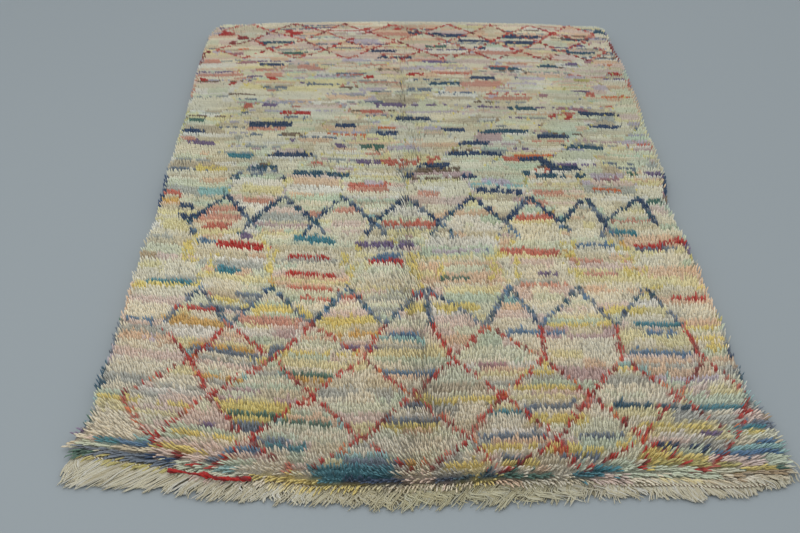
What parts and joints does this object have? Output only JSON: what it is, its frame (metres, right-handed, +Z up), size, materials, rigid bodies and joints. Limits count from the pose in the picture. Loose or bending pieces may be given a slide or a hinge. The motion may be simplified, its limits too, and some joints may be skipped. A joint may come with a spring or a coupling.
{
  "type": "turkish rug",
  "caption": "Flat hand-knotted rug with a long shaggy wool pile, a woven heading with warp fringe at one end, and overcast cord sides.",
  "frame": {"origin": "on the flat underside, in the middle of the rug", "axes": "+Y along the rug from the fringed end to the plain end, +Z up out of the pile"},
  "size_m": [1.7029, 2.5095, 0.0352],
  "materials": {
    "pile": "long hand-spun wool pile, matte with a slight sheen at the tips, patterned in many dyed colours on cream",
    "fringe": "undyed cream wool warp, flat-woven at the heading and loose in the fringe, matte",
    "cord": "wool yarn wrapped closely over the side warps, dyed in runs of different colours, matte"
  },
  "bodies": {
    "root": {"pile": "pile", "fringe": "fringe", "side_cord_left": "cord", "side_cord_right": "cord"}
  },
  "joints": []
}
